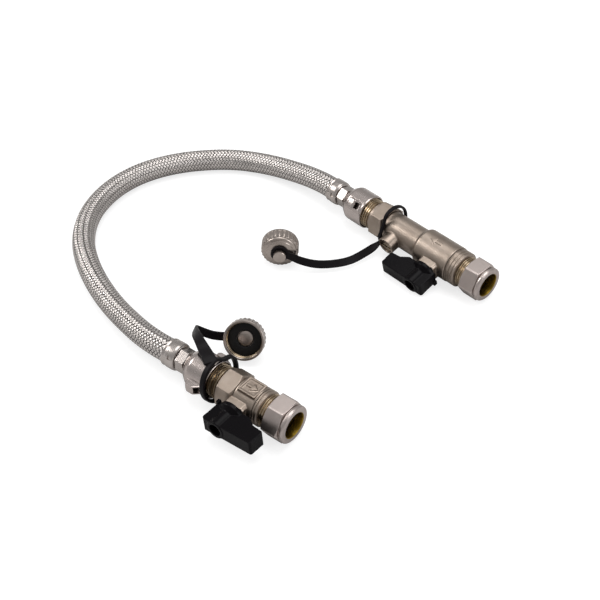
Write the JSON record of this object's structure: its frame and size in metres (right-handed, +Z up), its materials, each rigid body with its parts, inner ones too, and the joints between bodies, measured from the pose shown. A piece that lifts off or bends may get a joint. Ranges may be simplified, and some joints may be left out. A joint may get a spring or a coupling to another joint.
{
  "type": "filling loop",
  "caption": "Flexible filling loop: a braided hose between an isolating ball valve and a ball valve with a double check valve, with compression pipe ends and strapped blanking caps.",
  "frame": {"origin": "on the table under the middle of everything but the hose", "axes": "+X out of the mouth of the check valve's pipe socket, +Y from the isolating valve to the check valve, +Z up, as the loop lies on a table"},
  "size_m": [0.2682, 0.2158, 0.0314],
  "materials": {
    "nut_plating": "bright nickel plate over turned brass",
    "olive_brass": "bare brass",
    "body_plating": "satin nickel plate over hot-stamped brass",
    "ball_plating": "polished chrome plate over brass",
    "ptfe": "white sealing plastic",
    "seal_rubber": "black sealing rubber",
    "handle_plastic": "moulded black plastic, half gloss",
    "screw_steel": "zinc-plated steel and spring steel",
    "cartridge_plastic": "moulded off-white plastic",
    "tail_steel": "polished stainless steel",
    "braid_steel": "braided stainless wire",
    "liner_rubber": "black rubber hose",
    "cap_plating": "nickel plate over brass",
    "strap_rubber": "satin black rubber"
  },
  "bodies": {
    "loop": {"isolating_compression_nut": "nut_plating", "isolating_olive": "olive_brass", "isolating_compression_insert": "body_plating", "isolating_seat_pipe_side": "ptfe", "isolating_seat_hose_side": "ptfe", "isolating_stem_seal": "seal_rubber", "isolating_body": "body_plating", "isolating_joint_washer": "seal_rubber", "isolating_hose_tail": "tail_steel", "isolating_ferrule": "tail_steel", "check_compression_nut": "nut_plating", "check_olive": "olive_brass", "check_compression_insert": "body_plating", "check_seat_pipe_side": "ptfe", "check_seat_hose_side": "ptfe", "check_stem_seal": "seal_rubber", "check_body": "body_plating", "check_adapter": "body_plating", "check_test_plug": "nut_plating", "check_cage_1": "cartridge_plastic", "check_spring_1": "screw_steel", "check_cage_2": "cartridge_plastic", "check_spring_2": "screw_steel", "check_joint_washer": "seal_rubber", "check_hose_tail": "tail_steel", "check_ferrule": "tail_steel", "hose_braid": "braid_steel", "hose_liner": "liner_rubber", "isolating_cap": "cap_plating", "isolating_cap_washer": "seal_rubber", "isolating_strap": "strap_rubber", "check_cap": "cap_plating", "check_cap_washer": "seal_rubber", "check_strap": "strap_rubber"},
    "near_lever": {"isolating_handle": "handle_plastic", "isolating_handle_screw": "screw_steel", "isolating_stem": "olive_brass", "isolating_ball": "ball_plating"},
    "far_lever": {"check_handle": "handle_plastic", "check_handle_screw": "screw_steel", "check_stem": "olive_brass", "check_ball": "ball_plating"},
    "near_swivel": {"isolating_swivel_nut": "nut_plating"},
    "far_swivel": {"check_swivel_nut": "nut_plating"},
    "first_check_poppet": {"check_poppet_1": "cartridge_plastic"},
    "second_check_poppet": {"check_poppet_2": "cartridge_plastic"}
  },
  "joints": [
    {"name": "near_lever_turn", "type": "hinge", "parent": "loop", "child": "near_lever", "pos_m": [0.03938, -0.07817, 0.0126], "axis": [0.1736, -0.9848, 0], "range_deg": [-5, 85]},
    {"name": "far_lever_turn", "type": "hinge", "parent": "loop", "child": "far_lever", "pos_m": [0.0284, 0.09408, 0.0134], "axis": [0, 0.9659, 0.2588], "range_deg": [0, 90]},
    {"name": "near_swivel_turn", "type": "hinge", "parent": "loop", "child": "near_swivel", "pos_m": [0.01673, -0.08217, 0.0126], "axis": [0.9848, 0.1736, 0], "continuous": true},
    {"name": "far_swivel_turn", "type": "hinge", "parent": "loop", "child": "far_swivel", "pos_m": [-0.0354, 0.09408, 0.0134], "axis": [1, 0, 0], "continuous": true},
    {"name": "first_check_poppet_slide", "type": "slide", "parent": "loop", "child": "first_check_poppet", "axis": [-1, 0, 0], "range_m": [0, 0.0025], "stiffness_N_per_m": 60, "springref_m": -0.002, "deforming": ["check_spring_1"]},
    {"name": "second_check_poppet_slide", "type": "slide", "parent": "loop", "child": "second_check_poppet", "axis": [-1, 0, 0], "range_m": [0, 0.0025], "stiffness_N_per_m": 60, "springref_m": -0.002, "deforming": ["check_spring_2"]}
  ]
}
